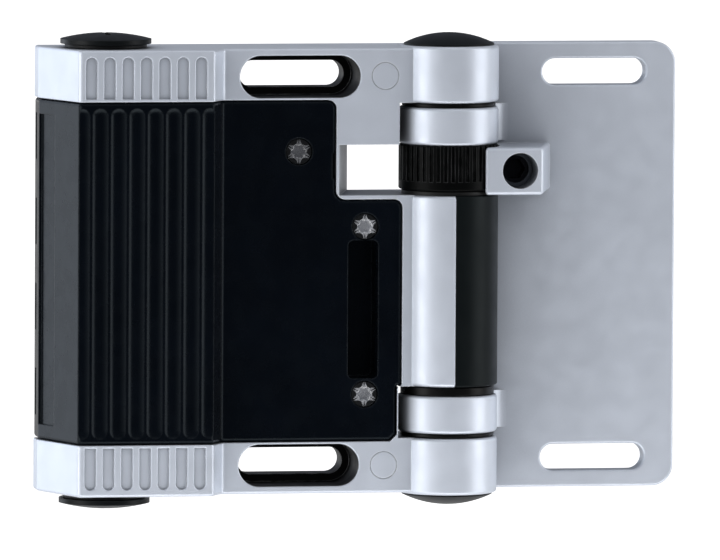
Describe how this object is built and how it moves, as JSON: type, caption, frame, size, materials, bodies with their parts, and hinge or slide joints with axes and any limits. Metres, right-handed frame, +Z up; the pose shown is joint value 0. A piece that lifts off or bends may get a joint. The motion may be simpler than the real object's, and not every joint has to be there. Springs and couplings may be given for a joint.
{
  "type": "hinge safety switch",
  "caption": "Hinge safety switch for a machine guard: cast housing with ribbed black cover, hinge barrel with knurled setting ring, and a slotted door leaf.",
  "frame": {"origin": "on the mounting plane, behind the middle of the hinge barrel, centre of the four slots", "axes": "+X across the hinge towards the door leaf, +Y into the guard, so the front faces -Y, +Z up along the hinge axis"},
  "size_m": [0.1368, 0.0229, 0.1002],
  "materials": {
    "zinc_casting": "satin",
    "leaf_casting": "satin",
    "black_cover": "matte",
    "gasket": "matte",
    "screw_steel": "brushed",
    "plug_plastic": "satin",
    "seal_rubber": "satin",
    "cap_plastic": "satin",
    "pin_steel": "ground",
    "bush_plastic": "satin",
    "barrel_plastic": "satin",
    "ring_black": "satin",
    "sleeve_steel": "turned",
    "cam_plastic": "satin",
    "worm_steel": "blackened",
    "retainer_steel": "satin",
    "plunger_plastic": "satin",
    "contact_metal": "satin",
    "spring_steel": "bright",
    "block_plastic": "matte"
  },
  "bodies": {
    "housing_body": {"housing": "zinc_casting", "cover": "black_cover", "cover_gasket": "gasket", "cover_screws": "screw_steel", "blanking_plug_top": "plug_plastic", "blanking_plug_bottom": "plug_plastic", "plug_seal_top": "seal_rubber", "plug_seal_bottom": "seal_rubber", "pin_cap_top": "cap_plastic", "pin_cap_bottom": "cap_plastic", "hinge_pin": "pin_steel", "barrel_cover": "barrel_plastic", "sleeve_seal": "seal_rubber", "contact_block": "block_plastic", "fixed_contacts": "contact_metal", "terminal_screws": "screw_steel", "earth_screw": "screw_steel", "return_spring": "spring_steel"},
    "leaf_body": {"door_leaf": "leaf_casting", "bush_upper": "bush_plastic", "bush_lower_inner": "bush_plastic", "bush_lower_outer": "bush_plastic", "worm_retainer": "retainer_steel"},
    "ring_body": {"setting_ring": "ring_black", "cam_sleeve": "sleeve_steel", "switch_cam": "cam_plastic"},
    "worm_body": {"setting_worm": "worm_steel"},
    "plunger_body": {"plunger": "plunger_plastic", "contact_bridges": "contact_metal"}
  },
  "joints": [
    {"name": "leaf_hinge", "type": "hinge", "parent": "housing_body", "child": "leaf_body", "pos_m": [0, -0.0123, 0], "axis": [0, 0, -1], "range_deg": [0, 180]},
    {"name": "worm_spin", "type": "hinge", "parent": "leaf_body", "child": "worm_body", "pos_m": [0.01383, -0.0123, 0.0211], "axis": [0, -1, 0], "range_deg": [-630, 630]},
    {"name": "ring_adjust", "type": "hinge", "parent": "leaf_body", "child": "ring_body", "pos_m": [0, -0.0123, 0], "axis": [0, 0, 1], "range_deg": [-15.1, 15.1]},
    {"name": "plunger_slide", "type": "slide", "parent": "housing_body", "child": "plunger_body", "axis": [-1, 0, 0], "range_m": [0, 0.00161], "deforming": ["return_spring"]}
  ],
  "couplings": [
    {"joint": "ring_adjust", "follows": "worm_spin", "ratio": 0.02381},
    {"joint": "plunger_slide", "follows": "leaf_hinge", "m_per_rad": 0.0005093}
  ]
}
